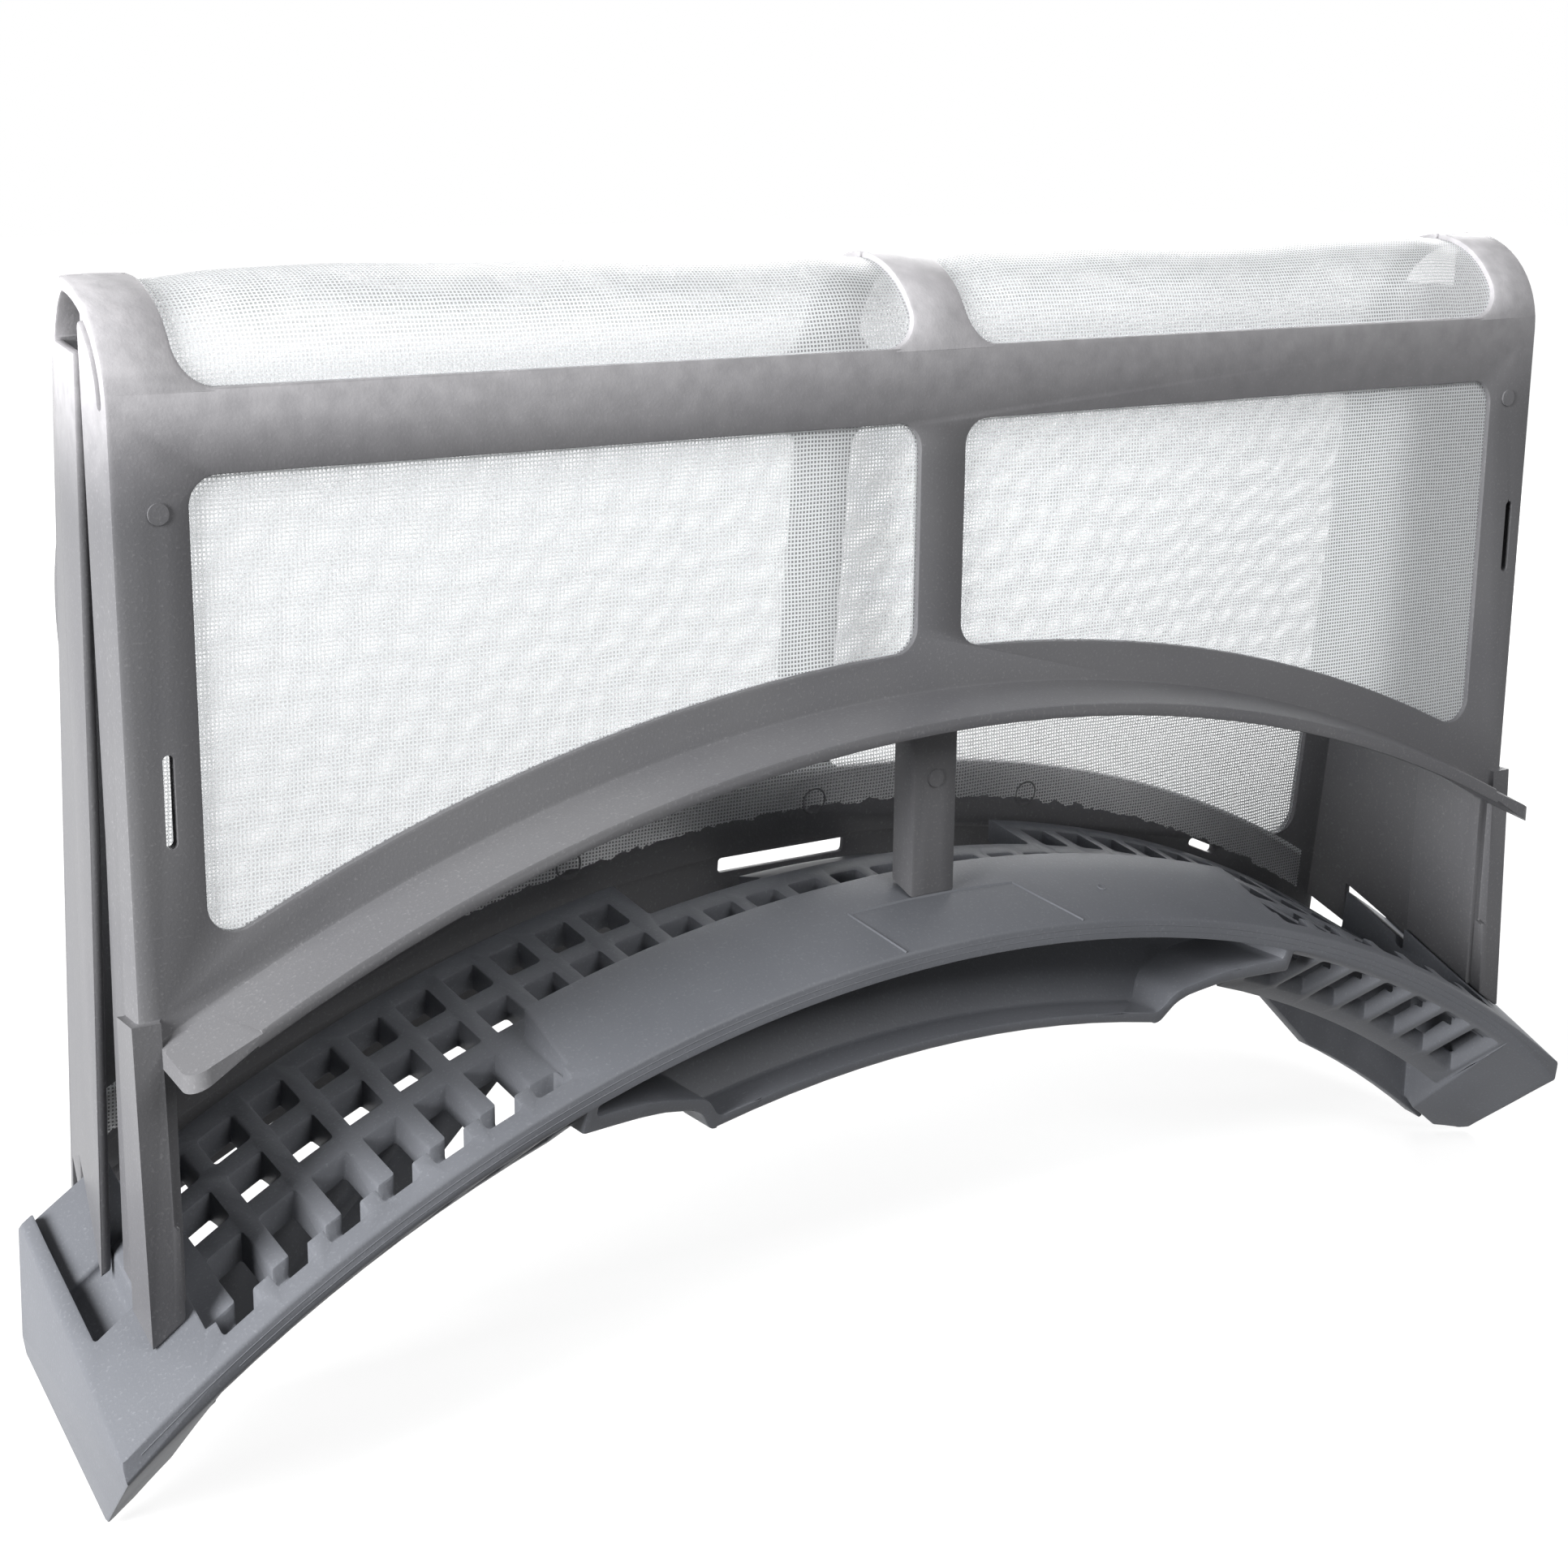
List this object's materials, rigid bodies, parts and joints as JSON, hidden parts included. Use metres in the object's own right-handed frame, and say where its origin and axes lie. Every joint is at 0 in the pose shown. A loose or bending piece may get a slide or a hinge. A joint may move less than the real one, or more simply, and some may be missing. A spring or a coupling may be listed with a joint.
{
  "type": "tumble dryer lint filter",
  "caption": "Lint filter for a tumble dryer: a folded mesh pocket in a plastic frame on an arched grille base with a hand grip; the rear leaf swings open for cleaning.",
  "frame": {"origin": "middle of the bounding box at the level of the end blocks' undersides", "axes": "+X along the filter to the right as seen from the hand grip, +Y from the grip to the rear leaf, +Z from the arched base to the fold"},
  "size_m": [0.2772, 0.056, 0.1688],
  "materials": {
    "base_plastic": "fine-grained satin moulding in mid grey",
    "frame_plastic": "fine-grained satin moulding in mid grey",
    "screen": "white woven polyester screen"
  },
  "bodies": {
    "filter": {"grille_base": "base_plastic", "front_leaf_frame": "frame_plastic", "front_mesh": "screen"},
    "rear_leaf": {"rear_leaf_frame": "frame_plastic", "rear_mesh": "screen"}
  },
  "joints": [
    {"name": "leaf_hinge", "type": "hinge", "parent": "filter", "child": "rear_leaf", "pos_m": [0, -0.0011, 0.1688], "axis": [1, 0, 0], "range_deg": [0, 90]}
  ]
}
